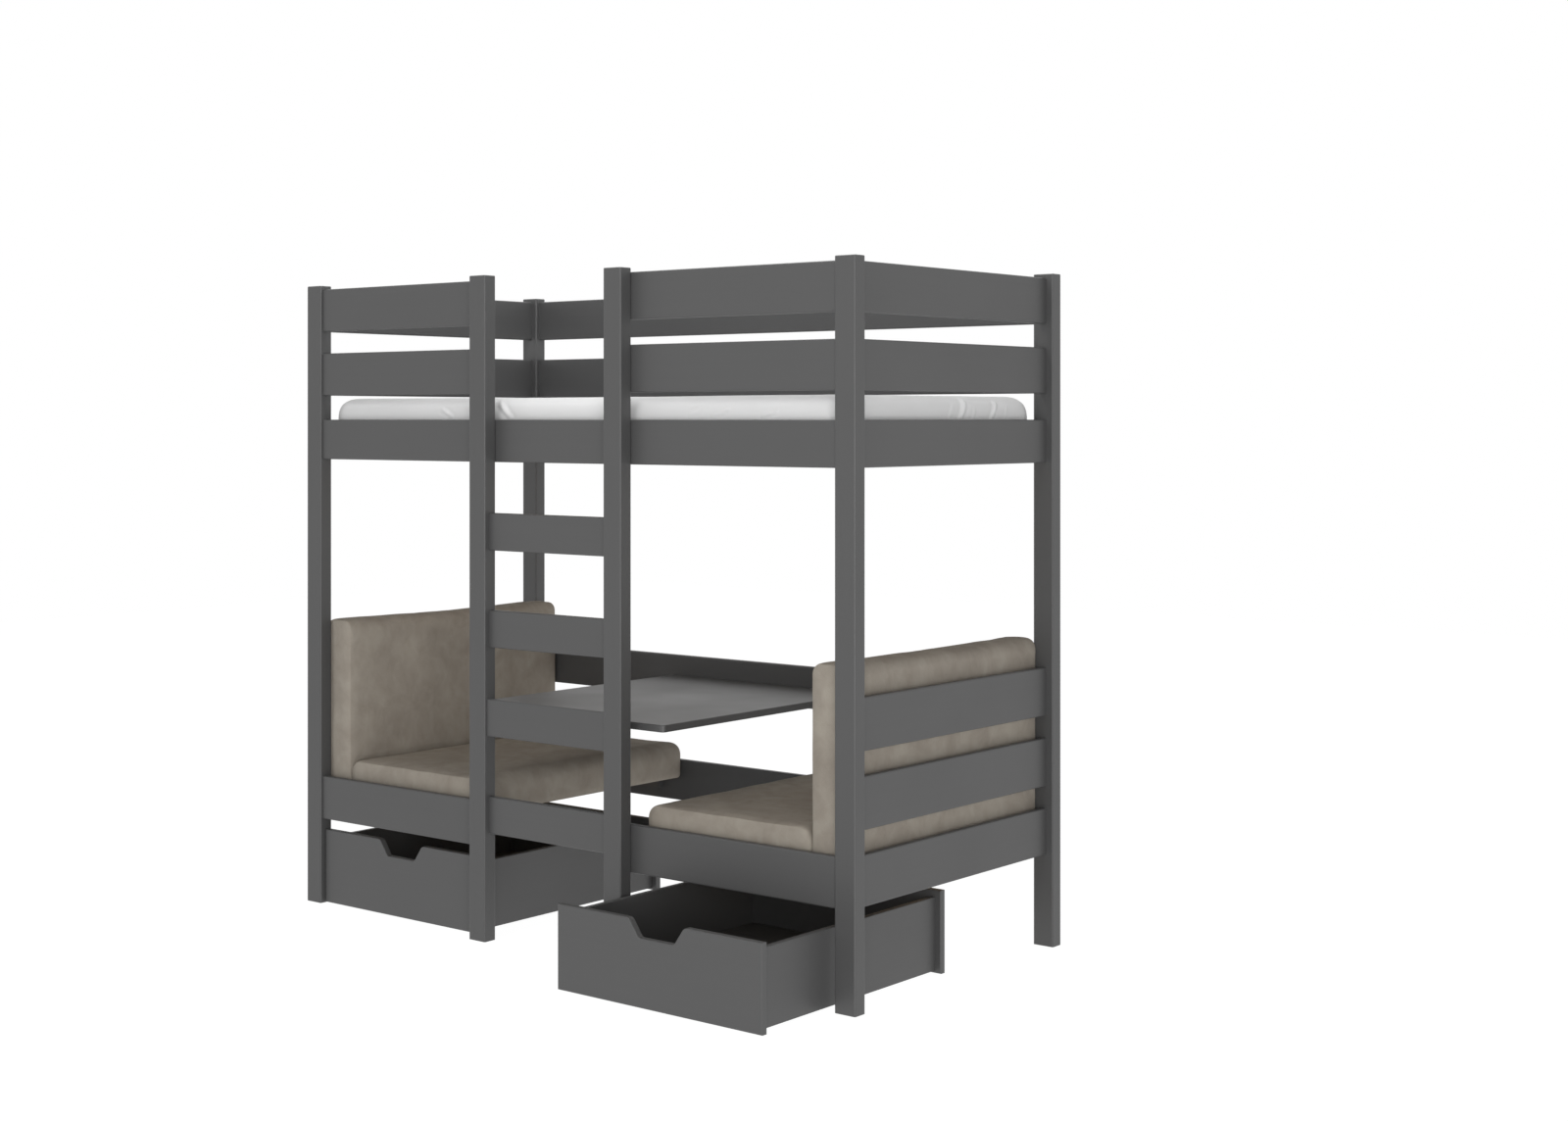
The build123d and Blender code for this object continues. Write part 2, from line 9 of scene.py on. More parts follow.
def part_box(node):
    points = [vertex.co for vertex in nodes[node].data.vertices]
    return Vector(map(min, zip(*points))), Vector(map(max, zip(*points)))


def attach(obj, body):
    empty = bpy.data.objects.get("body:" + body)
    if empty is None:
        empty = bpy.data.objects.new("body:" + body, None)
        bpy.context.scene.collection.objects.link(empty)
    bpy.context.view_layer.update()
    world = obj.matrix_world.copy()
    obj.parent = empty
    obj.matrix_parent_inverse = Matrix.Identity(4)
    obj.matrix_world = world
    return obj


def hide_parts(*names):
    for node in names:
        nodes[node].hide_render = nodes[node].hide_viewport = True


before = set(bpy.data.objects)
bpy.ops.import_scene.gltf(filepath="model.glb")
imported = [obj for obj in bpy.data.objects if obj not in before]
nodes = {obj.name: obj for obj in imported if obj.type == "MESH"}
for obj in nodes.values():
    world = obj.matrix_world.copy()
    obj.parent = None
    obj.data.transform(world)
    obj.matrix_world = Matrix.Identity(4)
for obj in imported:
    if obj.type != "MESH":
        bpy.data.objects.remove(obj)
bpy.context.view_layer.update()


# Camera. It stands at the right of the bed's front, at the height of the upper rail, and looks
# level, so that every post stays upright in the picture; the picture is shifted down instead.
camera_data = bpy.data.cameras.new("camera")
camera = bpy.data.objects.new("camera", camera_data)
bpy.context.scene.collection.objects.link(camera)
camera.location = (3.8547, -4.1786, 1.3223)
camera.rotation_euler = Vector((-0.6267, 0.7793, 0.0)).to_track_quat("-Z", "Y").to_euler()
camera_data.sensor_fit = "HORIZONTAL"
camera_data.sensor_width = 36.0
camera_data.lens = 50.28
camera_data.shift_y = -0.0899
camera_data.clip_end = 60.0
bpy.context.scene.camera = camera
bpy.context.scene.view_settings.view_transform = "Standard"


# Studio. A white room: a pale floor that keeps a soft shadow but also glows, so that it lights
# the bed from below though it is no lamp, a white surround whose light comes from low down and from
# behind, and three soft boxes: one at the right of the front, one high in front, and one over the
# upper bunk.
def connect(material, chain):
    """Links the pairs of sockets in a material's node tree."""
    for source, target in chain:
        material.node_tree.links.new(source, target)


def seen_directly(tree):
    """A socket that is 1 for rays from the camera, and for their mirror and clear-glass ones."""
    path = tree.nodes.new("ShaderNodeLightPath")
    first = tree.nodes.new("ShaderNodeMath")
    first.operation = "MAXIMUM"
    tree.links.new(path.outputs["Is Camera Ray"], first.inputs[0])
    tree.links.new(path.outputs["Is Glossy Ray"], first.inputs[1])
    second = tree.nodes.new("ShaderNodeMath")
    second.operation = "MAXIMUM"
    tree.links.new(first.outputs[0], second.inputs[0])
    tree.links.new(path.outputs["Is Transmission Ray"], second.inputs[1])
    return second.outputs[0]


horizon_level = 0.45
back_level = 0.29
world = bpy.data.worlds.new("surround")
bpy.context.scene.world = world
world.use_nodes = True
sky = world.node_tree
sky.nodes.clear()
sky_light = sky.nodes.new("ShaderNodeBackground")
sky_light.inputs["Color"].default_value = (1.0, 1.0, 1.0, 1.0)
sky_place = sky.nodes.new("ShaderNodeTexCoord")
sky_split = sky.nodes.new("ShaderNodeSeparateXYZ")
sky_fall = sky.nodes.new("ShaderNodeMapRange")
sky_fall.inputs["From Min"].default_value = 0.0
sky_fall.inputs["From Max"].default_value = 0.8
sky_fall.inputs["To Min"].default_value = horizon_level
sky_fall.inputs["To Max"].default_value = 0.0
sky.links.new(sky_place.outputs["Generated"], sky_split.inputs[0])
sky.links.new(sky_split.outputs["Z"], sky_fall.inputs["Value"])
sky_back = sky.nodes.new("ShaderNodeMapRange")
sky_back.inputs["From Min"].default_value = -1.0
sky_back.inputs["To Min"].default_value = 0.0
sky_back.inputs["To Max"].default_value = back_level
sky_both = sky.nodes.new("ShaderNodeMath")
sky_both.operation = "ADD"
sky.links.new(sky_split.outputs["Y"], sky_back.inputs["Value"])
sky.links.new(sky_fall.outputs["Result"], sky_both.inputs[0])
sky.links.new(sky_back.outputs["Result"], sky_both.inputs[1])
sky.links.new(sky_both.outputs[0], sky_light.inputs["Strength"])
sky_seen = sky.nodes.new("ShaderNodeBackground")
sky_seen.inputs["Color"].default_value = (1.0, 1.0, 1.0, 1.0)
sky_seen.inputs["Strength"].default_value = 1.0
sky_mix = sky.nodes.new("ShaderNodeMixShader")
sky_out = sky.nodes.new("ShaderNodeOutputWorld")
sky.links.new(seen_directly(sky), sky_mix.inputs["Fac"])
sky.links.new(sky_light.outputs[0], sky_mix.inputs[1])
sky.links.new(sky_seen.outputs[0], sky_mix.inputs[2])
sky.links.new(sky_mix.outputs[0], sky_out.inputs["Surface"])

floor_half = 9.0
floor_drop = 0.0004
floor_light = 0.92
floor_seen = 1.15
floor_glow_share = 0.85
floor_mesh = bmesh.new()
bmesh.ops.create_grid(floor_mesh, x_segments=1, y_segments=1, size=floor_half)
floor_data = bpy.data.meshes.new("floor")
floor_mesh.to_mesh(floor_data)
floor_mesh.free()
floor = bpy.data.objects.new("floor", floor_data)
bpy.context.scene.collection.objects.link(floor)
floor.location.z = -floor_drop
# The floor's paint is mostly glow: for the bed it is painted light coming from below, not a lamp.
glowing_floor_paint = bpy.data.materials.new("glowing_floor_paint")
glowing_floor_paint.use_nodes = True
ground = glowing_floor_paint.node_tree
ground.nodes.clear()
ground_diffuse = ground.nodes.new("ShaderNodeBsdfDiffuse")
ground_diffuse.inputs["Color"].default_value = (0.8, 0.8, 0.8, 1.0)
ground_glow = ground.nodes.new("ShaderNodeEmission")
ground_level = ground.nodes.new("ShaderNodeMapRange")
ground_level.inputs["To Min"].default_value = floor_light
ground_level.inputs["To Max"].default_value = floor_seen
ground_mix = ground.nodes.new("ShaderNodeMixShader")
ground_mix.inputs["Fac"].default_value = floor_glow_share
ground.links.new(seen_directly(ground), ground_level.inputs["Value"])
ground.links.new(ground_level.outputs["Result"], ground_glow.inputs["Strength"])
ground_out = ground.nodes.new("ShaderNodeOutputMaterial")
ground.links.new(ground_diffuse.outputs[0], ground_mix.inputs[1])
ground.links.new(ground_glow.outputs[0], ground_mix.inputs[2])
ground.links.new(ground_mix.outputs[0], ground_out.inputs["Surface"])
floor_data.materials.append(glowing_floor_paint)


def lamp(name, place, target, width, watts):
    """A square soft box that faces a point."""
    data = bpy.data.lights.new(name, "AREA")
    data.shape = "SQUARE"
    data.size = width
    data.energy = watts
    thing = bpy.data.objects.new(name, data)
    thing.location = place
    aim = Vector(target) - Vector(place)
    thing.rotation_euler = aim.to_track_quat("-Z", "Y").to_euler()
    bpy.context.scene.collection.objects.link(thing)


lamp("soft_box_right", (4.4, -4.2, 0.8), (0.0, 0.0, 0.8), 2.4, 150.0)
lamp("soft_box_high", (0.8, -4.4, 3.6), (0.0, 0.0, 1.0), 2.4, 56.0)
lamp("soft_box_above", (0.0, 0.1, 3.2), (0.0, 0.1, 1.4), 1.6, 31.0)


# Corner posts and ladder posts. Planed pine, 58 by 38 mm with eased edges, primed and sprayed
# with two coats of satin-matte graphite paint, in which the grain still shows as faint ridges.
def new_finish(name):
    """A new material, its node tree, its shader and the node that places its patterns."""
    material = bpy.data.materials.new(name)
    material.use_nodes = True
    tree = material.node_tree
    return material, tree, tree.nodes["Principled BSDF"], tree.nodes.new("ShaderNodeTexCoord")


def painted_wood(name, along):
    """Sprayed satin-matte paint over planed pine whose grain runs along one axis."""
    tone = 0.072
    scale_along = 2.2
    scale_across = 95.0
    cloud_share = 0.35
    material, tree, shader, place = new_finish(name)
    stretch = tree.nodes.new("ShaderNodeMapping")
    scales = [scale_along if axis == along else scale_across for axis in "XYZ"]
    stretch.inputs["Scale"].default_value = scales
    grain = tree.nodes.new("ShaderNodeTexNoise")
    grain.inputs["Scale"].default_value = 1.0
    grain.inputs["Detail"].default_value = 5.0
    grain.inputs["Roughness"].default_value = 0.62
    grain.inputs["Distortion"].default_value = 0.4
    cloud = tree.nodes.new("ShaderNodeTexNoise")
    cloud.inputs["Scale"].default_value = 3.5
    cloud.inputs["Detail"].default_value = 3.0
    spray = tree.nodes.new("ShaderNodeTexNoise")
    spray.inputs["Scale"].default_value = 900.0
    spray.inputs["Detail"].default_value = 2.0
    tones = tree.nodes.new("ShaderNodeMixRGB")
    tones.inputs["Color1"].default_value = (tone * 0.94, tone * 0.94, tone * 0.945, 1.0)
    tones.inputs["Color2"].default_value = (tone * 1.06, tone * 1.06, tone * 1.06, 1.0)
    blotch = tree.nodes.new("ShaderNodeMath")
    blotch.operation = "MULTIPLY_ADD"
    blotch.inputs[1].default_value = cloud_share
    share = tree.nodes.new("ShaderNodeMath")
    share.operation = "MULTIPLY"
    share.inputs[1].default_value = 1.0 - cloud_share
    gloss = tree.nodes.new("ShaderNodeMapRange")
    gloss.inputs["From Min"].default_value = 0.3
    gloss.inputs["From Max"].default_value = 0.7
    gloss.inputs["To Min"].default_value = 0.40
    gloss.inputs["To Max"].default_value = 0.50
    fine = tree.nodes.new("ShaderNodeBump")
    fine.inputs["Strength"].default_value = 0.25
    fine.inputs["Distance"].default_value = 0.00006
    ridges = tree.nodes.new("ShaderNodeBump")
    ridges.inputs["Strength"].default_value = 0.35
    ridges.inputs["Distance"].default_value = 0.00022
    connect(material, [
        (place.outputs["Object"], stretch.inputs["Vector"]),
        (stretch.outputs["Vector"], grain.inputs["Vector"]),
        (place.outputs["Object"], cloud.inputs["Vector"]),
        (place.outputs["Object"], spray.inputs["Vector"]),
        (grain.outputs["Fac"], share.inputs[0]),
        (cloud.outputs["Fac"], blotch.inputs[0]),
        (share.outputs[0], blotch.inputs[2]),
        (blotch.outputs[0], tones.inputs["Fac"]),
        (tones.outputs["Color"], shader.inputs["Base Color"]),
        (cloud.outputs["Fac"], gloss.inputs["Value"]),
        (gloss.outputs["Result"], shader.inputs["Roughness"]),
        (spray.outputs["Fac"], fine.inputs["Height"]),
        (grain.outputs["Fac"], ridges.inputs["Height"]),
        (fine.outputs["Normal"], ridges.inputs["Normal"]),
        (ridges.outputs["Normal"], shader.inputs["Normal"]),
    ])
    return material


def dress(names, material):
    """Puts one material on the CAD pieces named."""
    for name in names:
        slots = nodes[name].data.materials
        slots.clear()
        slots.append(material)


paint_upright = painted_wood("graphite_paint_upright", "Z")
dress(["post_front_left", "post_front_right", "post_back_left", "post_back_right",
       "ladder_post_left", "ladder_post_right"], paint_upright)


# Rungs, rails and guard boards that run along the bed. 18 mm planed boards with rounded long
# edges and the same paint; the rungs are housed between the ladder posts and glued.
paint_long = painted_wood("graphite_paint_long", "X")
dress(["rung_top", "rung_second", "rung_table", "rung_bottom",
       "lower_rail_front_left", "lower_rail_front_right", "lower_rail_back", "table_rail_back",
       "upper_rail_front", "upper_rail_back", "guards_front_left", "guards_front_right",
       "guards_back"], paint_long)


# End boards: rails, guard boards and the boards behind the seat backs. The same 18 mm boards,
# running across the bed and doweled between the front and the back posts.
paint_cross = painted_wood("graphite_paint_cross", "Y")
dress(["lower_rail_left", "lower_rail_right", "upper_rail_left", "upper_rail_right",
       "guards_left", "guards_right", "seat_boards_left", "seat_boards_right"], paint_cross)


# Ledgers. Square battens screwed to the inner faces of the rails, painted with them; the slats
# lie loose on their upper faces.
dress(["upper_ledger_front", "upper_ledger_back", "seat_ledgers_front", "seat_ledgers_back"],
      paint_long)


# Slats. Unpainted planed pine, 70 by 15 mm, with eased upper edges; growth rings run along each
# slat, with a few darker knots.
pine, tree, shader, place = new_finish("planed_pine")
stretch = tree.nodes.new("ShaderNodeMapping")
stretch.inputs["Scale"].default_value = (1.0, 0.06, 1.0)
rings = tree.nodes.new("ShaderNodeTexWave")
rings.wave_type = "BANDS"
rings.bands_direction = "X"
rings.inputs["Scale"].default_value = 34.0
rings.inputs["Distortion"].default_value = 9.0
rings.inputs["Detail"].default_value = 4.0
rings.inputs["Detail Scale"].default_value = 1.6
fibre_stretch = tree.nodes.new("ShaderNodeMapping")
fibre_stretch.inputs["Scale"].default_value = (420.0, 6.0, 420.0)
fibre = tree.nodes.new("ShaderNodeTexNoise")
fibre.inputs["Scale"].default_value = 1.0
fibre.inputs["Detail"].default_value = 4.0
knots = tree.nodes.new("ShaderNodeTexVoronoi")
knots.inputs["Scale"].default_value = 4.2
knot_edge = tree.nodes.new("ShaderNodeMapRange")
knot_edge.inputs["From Min"].default_value = 0.02
knot_edge.inputs["From Max"].default_value = 0.09
knot_edge.inputs["To Min"].default_value = 1.0
knot_edge.inputs["To Max"].default_value = 0.0
woods = tree.nodes.new("ShaderNodeValToRGB")
woods.color_ramp.elements[0].color = (0.70, 0.50, 0.29, 1.0)
woods.color_ramp.elements[1].color = (0.52, 0.32, 0.15, 1.0)
fibres = tree.nodes.new("ShaderNodeMixRGB")
fibres.blend_type = "MULTIPLY"
fibres.inputs["Fac"].default_value = 0.25
knotted = tree.nodes.new("ShaderNodeMixRGB")
knotted.inputs["Color2"].default_value = (0.22, 0.11, 0.05, 1.0)
relief = tree.nodes.new("ShaderNodeBump")
relief.inputs["Strength"].default_value = 0.3
relief.inputs["Distance"].default_value = 0.0002
shader.inputs["Roughness"].default_value = 0.55
connect(pine, [
    (place.outputs["Object"], stretch.inputs["Vector"]),
    (stretch.outputs["Vector"], rings.inputs["Vector"]),
    (place.outputs["Object"], fibre_stretch.inputs["Vector"]),
    (fibre_stretch.outputs["Vector"], fibre.inputs["Vector"]),
    (place.outputs["Object"], knots.inputs["Vector"]),
    (knots.outputs["Distance"], knot_edge.inputs["Value"]),
    (rings.outputs["Fac"], woods.inputs["Fac"]),
    (woods.outputs["Color"], fibres.inputs["Color1"]),
    (fibre.outputs["Fac"], fibres.inputs["Color2"]),
    (knot_edge.outputs["Result"], knotted.inputs["Fac"]),
    (fibres.outputs["Color"], knotted.inputs["Color1"]),
    (knotted.outputs["Color"], shader.inputs["Base Color"]),
    (fibre.outputs["Fac"], relief.inputs["Height"]),
    (relief.outputs["Normal"], shader.inputs["Normal"]),
])
dress(["upper_slats", "seat_slats_left", "seat_slats_right"], pine)


# Ladder bolts. Zinc-plated steel with flat mushroom heads, driven from inside the bed through
# the front boards into the ladder posts, so that no head shows from the front.
def bare_metal(name, colour, roughness):
    """Plated steel, a little duller and darker in cloudy patches."""
    worn_share = 0.86
    roughness_spread = 0.08
    material, tree, shader, place = new_finish(name)
    shader.inputs["Metallic"].default_value = 1.0
    cloud = tree.nodes.new("ShaderNodeTexNoise")
    cloud.inputs["Scale"].default_value = 160.0
    cloud.inputs["Detail"].default_value = 4.0
    shades = tree.nodes.new("ShaderNodeMixRGB")
    shades.inputs["Color1"].default_value = [worn_share * value for value in colour] + [1.0]
    shades.inputs["Color2"].default_value = [*colour, 1.0]
    dull = tree.nodes.new("ShaderNodeMapRange")
    dull.inputs["To Min"].default_value = roughness - roughness_spread
    dull.inputs["To Max"].default_value = roughness + roughness_spread
    relief = tree.nodes.new("ShaderNodeBump")
    relief.inputs["Strength"].default_value = 0.15
    relief.inputs["Distance"].default_value = 0.0001
    connect(material, [
        (place.outputs["Object"], cloud.inputs["Vector"]),
        (cloud.outputs["Fac"], shades.inputs["Fac"]),
        (shades.outputs["Color"], shader.inputs["Base Color"]),
        (cloud.outputs["Fac"], dull.inputs["Value"]),
        (dull.outputs["Result"], shader.inputs["Roughness"]),
        (cloud.outputs["Fac"], relief.inputs["Height"]),
        (relief.outputs["Normal"], shader.inputs["Normal"]),
    ])
    return material


zinc = bare_metal("zinc_plate", (0.56, 0.57, 0.58), 0.38)
dress(["ladder_bolts"], zinc)


# Upper mattress. A foam mattress in a white knitted cover: round corners, softly rounded upper
# edges and a cover that is a little loose, so that it creases along its sides.
def foam_block(name, low, high, axis, outline_radii, end_radii, step, end_loops):
    """A block of foam as an even grid: an outline with round corners, extruded along one axis,
    with its two end faces rounded off. outline_radii are for the foot and the top of the outline,
    and end_radii for the low and the high end."""
    middle = (Vector(low) + Vector(high)) / 2
    half = (Vector(high) - Vector(low)) / 2
    block = bmesh.new()
    bmesh.ops.create_cube(block, size=2.0)
    bmesh.ops.scale(block, vec=half, verts=block.verts)
    for cut_axis in range(3):
        normal = Vector((0.0, 0.0, 0.0))
        normal[cut_axis] = 1.0
        count = max(2, round(2 * half[cut_axis] / step))
        places = [-half[cut_axis] + 2 * half[cut_axis] * number / count for number in range(1, count)]
        if cut_axis == axis:
            for loop in end_loops:
                places += [loop - half[cut_axis], half[cut_axis] - loop]
        for spot in places:
            bmesh.ops.bisect_plane(block, geom=block.verts[:] + block.edges[:] + block.faces[:],
                                   dist=1e-5, plane_co=normal * spot, plane_no=normal)
    flat = [number for number in range(3) if number != axis]
    for vert in block.verts:
        spot = vert.co.copy()
        depth = min(half[number] - abs(spot[number]) for number in flat)
        core = Vector((0.0, 0.0, 0.0))
        core[axis] = spot[axis]
        radius = outline_radii[0 if spot[flat[1]] < 0 else 1]
        for number in flat:
            limit = half[number] - radius
            core[number] = min(max(spot[number], -limit), limit)
        arm = spot - core
        reach = max(abs(arm[number]) for number in flat)
        outward = arm.normalized() if reach > 0 else Vector((0.0, 0.0, 0.0))
        spot = core + outward * reach
        end = 0 if spot[axis] < 0 else 1
        radius = end_radii[end]
        height = half[axis] - abs(spot[axis])
        if depth < radius and height < radius:
            bend = Vector((radius - depth, radius - height)).normalized() * radius
            spot += outward * (depth - (radius - bend.x))
            spot[axis] = math.copysign(half[axis] - (radius - bend.y), spot[axis])
        vert.co = spot + middle
    bmesh.ops.recalc_face_normals(block, faces=block.faces)
    data = bpy.data.meshes.new(name)
    block.to_mesh(data)
    block.free()
    data.shade_smooth()
    piece = bpy.data.objects.new(name, data)
    bpy.context.scene.collection.objects.link(piece)
    return piece


def fill_cover(piece, held, cap, slack):
    """Blows the cover up over its foam with a short cloth run, and keeps the result. held gives
    the points that stay, cap how far the others may move and slack how loose the cloth is."""
    last_frame = 20
    data = piece.data
    start = [vert.co.copy() for vert in data.vertices]
    group = piece.vertex_groups.new(name="held")
    for index, weight in held.items():
        group.add([index], weight, "REPLACE")
    cloth = piece.modifiers.new("cover", "CLOTH")
    cover = cloth.settings
    cover.vertex_group_mass = "held"
    cover.use_pressure = True
    cover.uniform_pressure_force = 4.0
    cover.effector_weights.gravity = 0.0
    cover.quality = 6
    cover.bending_stiffness = 0.6
    cover.shrink_min = -slack
    for number in range(1, last_frame + 1):
        bpy.context.scene.frame_set(number)
    graph = bpy.context.evaluated_depsgraph_get()
    moved = [vert.co.copy() for vert in piece.evaluated_get(graph).data.vertices]
    piece.modifiers.remove(cloth)
    piece.vertex_groups.remove(group)
    bpy.context.scene.frame_set(1)
    for vert, old, new in zip(data.vertices, start, moved):
        move = new - old
        if move.length > cap:
            move *= cap / move.length
        vert.co = old + move
    smooth = piece.modifiers.new("smooth", "SUBSURF")
    smooth.levels = 1
    smooth.render_levels = 1


def draw_to(piece, low, high):
    """Stretches a finished cover a little, so that it just fills the room between two corners."""
    bpy.context.view_layer.update()
    graph = bpy.context.evaluated_depsgraph_get()
    seen = [vert.co.copy() for vert in piece.evaluated_get(graph).data.vertices]
    for axis in range(3):
        least = min(spot[axis] for spot in seen)
        most = max(spot[axis] for spot in seen)
        stretch = (high[axis] - low[axis]) / (most - least)
        for vert in piece.data.vertices:
            vert.co[axis] = low[axis] + (vert.co[axis] - least) * stretch


def crumple(piece, low, high, depth, spread):
    """Gives a cover the faint unevenness of cloth over foam, except where it lies on something.
    spread is the size of the uneven places along each axis."""
    calm_height = 0.02
    piece.data.update()
    normals = [vert.normal.copy() for vert in piece.data.vertices]
    for vert, normal in zip(piece.data.vertices, normals):
        spot = Vector([vert.co[axis] / spread[axis] for axis in range(3)])
        lift = min(max((vert.co.z - low.z) / calm_height, 0.0), 1.0)
        vert.co += normal * depth * lift * noise.noise(spot)
    draw_to(piece, low, high)


def settle(piece):
    """Turns a smoothed cover into a plain mesh, which can still be pressed into shape."""
    bpy.context.view_layer.update()
    graph = bpy.context.evaluated_depsgraph_get()
    piece.data = bpy.data.meshes.new_from_object(piece.evaluated_get(graph))
    piece.modifiers.clear()


def near_crease(cover, crease):
    """The numbers of a mesh's points round the middle of one crease."""
    margin_share = 2.5
    start, end, reach, _ = crease
    spots = kdtree.KDTree(len(cover.vertices))
    for vert in cover.vertices:
        spots.insert(vert.co, vert.index)
    spots.balance()
    found = spots.find_range((start + end) / 2, (end - start).length / 2 + margin_share * reach)
    return [index for _, index, _ in found]


def press_creases(piece, creases):
    """Raises soft folds on the upright sides along short lines, which lie in a plane across X or
    across Y and are given as start, end, half width and height. Each fold has a shallow dip on
    both sides, and fades towards its two ends."""
    fold_turn = 1.5 * math.pi
    fade_start = 0.15
    fade_share = 0.7
    settle(piece)
    finished = piece.data
    near = set()
    for crease in creases:
        near.update(near_crease(finished, crease))
    cover = bmesh.new()
    cover.from_mesh(finished)
    creased = [edge for edge in cover.edges if near.issuperset(vert.index for vert in edge.verts)]
    bmesh.ops.subdivide_edges(cover, edges=creased, cuts=1, use_grid_fill=True)
    cover.to_mesh(finished)
    cover.free()
    finished.shade_smooth()
    normals = [vert.normal.copy() for vert in finished.vertices]
    for crease in creases:
        start, end, reach, height = crease
        across = 0 if start.x == end.x else 1
        line = end - start
        for index in near_crease(finished, crease):
            vert = finished.vertices[index]
            arm = vert.co - start
            arm[across] = 0.0
            along = min(max(arm.dot(line) / line.length_squared, 0.0), 1.0)
            away = (arm - line * along).length / reach
            if away < 1.0:
                fold = math.cos(fold_turn * away) * (1.0 - away)
                fade = math.sin(math.pi * (fade_start + fade_share * along))
                vert.co += normals[index] * height * fold * fade


mattress_low, mattress_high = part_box("mattress")
mattress_outline_radius = 0.074
mattress_top_radius = 0.045
mattress_bottom_radius = 0.018
mattress_step = 0.016
mattress_end_loops = (0.005, 0.012)
mattress_swell = 0.003
mattress_slack = 0.012
mattress_unevenness = 0.0004
mattress_uneven_places = (0.09, 0.09, 0.12)
mattress = foam_block("mattress_cover", mattress_low, mattress_high, 2,
                      (mattress_outline_radius, mattress_outline_radius),
                      (mattress_bottom_radius, mattress_top_radius),
                      mattress_step, mattress_end_loops)
mattress_held = {}
for vert in mattress.data.vertices:
    if vert.co.z < mattress_low.z + mattress_bottom_radius / 2:
        mattress_held[vert.index] = 1.0
fill_cover(mattress, mattress_held, mattress_swell, mattress_slack)
crumple(mattress, mattress_low, mattress_high, mattress_unevenness, mattress_uneven_places)

# The mattress's folds on its right-hand end and on its front: start and end, each as a place
# along the side and a level, then half width and height. The other end and the back have the
# same folds, turned half round.
mattress_end_x = 0.895
mattress_front_y = -0.2755
end_folds = (
    ((0.218, 1.371), (0.173, 1.320), 0.021, 0.0058),
    ((0.348, 1.364), (0.306, 1.320), 0.017, 0.0045),
    ((0.156, 1.358), (0.125, 1.320), 0.015, 0.0018),
    ((0.250, 1.358), (0.229, 1.320), 0.015, 0.0020),
    ((0.389, 1.354), (0.369, 1.320), 0.014, 0.0016),
)
front_folds = (
    ((-0.236, 1.371), (-0.174, 1.326), 0.020, 0.0036),
    ((-0.434, 1.348), (-0.393, 1.330), 0.015, 0.0040),
    ((0.652, 1.331), (0.693, 1.342), 0.013, 0.0050),
    ((0.500, 1.332), (0.548, 1.345), 0.015, 0.0040),
    ((0.428, 1.334), (0.463, 1.343), 0.014, 0.0030),
)
mattress_middle = (mattress_low + mattress_high) / 2
mattress_creases = []
for axis, side, folds in ((0, mattress_end_x, end_folds), (1, mattress_front_y, front_folds)):
    for start, end, reach, height in folds:
        line = []
        turned = []
        for along, level in (start, end):
            spot = Vector((along, along, level))
            spot[axis] = side
            line.append(spot)
            turned.append(Vector((2 * mattress_middle.x - spot.x, 2 * mattress_middle.y - spot.y,
                                  spot.z)))
        mattress_creases.append((*line, reach, height))
        mattress_creases.append((*turned, reach, height))
press_creases(mattress, mattress_creases)

knit, tree, shader, place = new_finish("white_knit")
rows = tree.nodes.new("ShaderNodeTexWave")
rows.bands_direction = "Z"
rows.inputs["Scale"].default_value = 190.0
rows.inputs["Distortion"].default_value = 1.5
ribs = tree.nodes.new("ShaderNodeTexWave")
ribs.bands_direction = "DIAGONAL"
ribs.inputs["Scale"].default_value = 190.0
ribs.inputs["Distortion"].default_value = 1.0
stitches = tree.nodes.new("ShaderNodeMath")
stitches.operation = "MULTIPLY"
cloud = tree.nodes.new("ShaderNodeTexNoise")
cloud.inputs["Scale"].default_value = 7.0
cloud.inputs["Detail"].default_value = 3.0
whites = tree.nodes.new("ShaderNodeMixRGB")
whites.inputs["Color1"].default_value = (0.735, 0.735, 0.735, 1.0)
whites.inputs["Color2"].default_value = (0.795, 0.795, 0.795, 1.0)
relief = tree.nodes.new("ShaderNodeBump")
relief.inputs["Strength"].default_value = 0.3
relief.inputs["Distance"].default_value = 0.0004
shader.inputs["Roughness"].default_value = 0.9
shader.inputs["Sheen Weight"].default_value = 0.1
connect(knit, [
    (place.outputs["Object"], rows.inputs["Vector"]),
    (place.outputs["Object"], ribs.inputs["Vector"]),
    (place.outputs["Object"], cloud.inputs["Vector"]),
    (rows.outputs["Fac"], stitches.inputs[0]),
    (ribs.outputs["Fac"], stitches.inputs[1]),
    (cloud.outputs["Fac"], whites.inputs["Fac"]),
    (whites.outputs["Color"], shader.inputs["Base Color"]),
    (stitches.outputs[0], relief.inputs["Height"]),
    (relief.outputs["Normal"], shader.inputs["Normal"]),
])
mattress.data.materials.append(knit)
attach(mattress, "bed")
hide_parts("mattress")


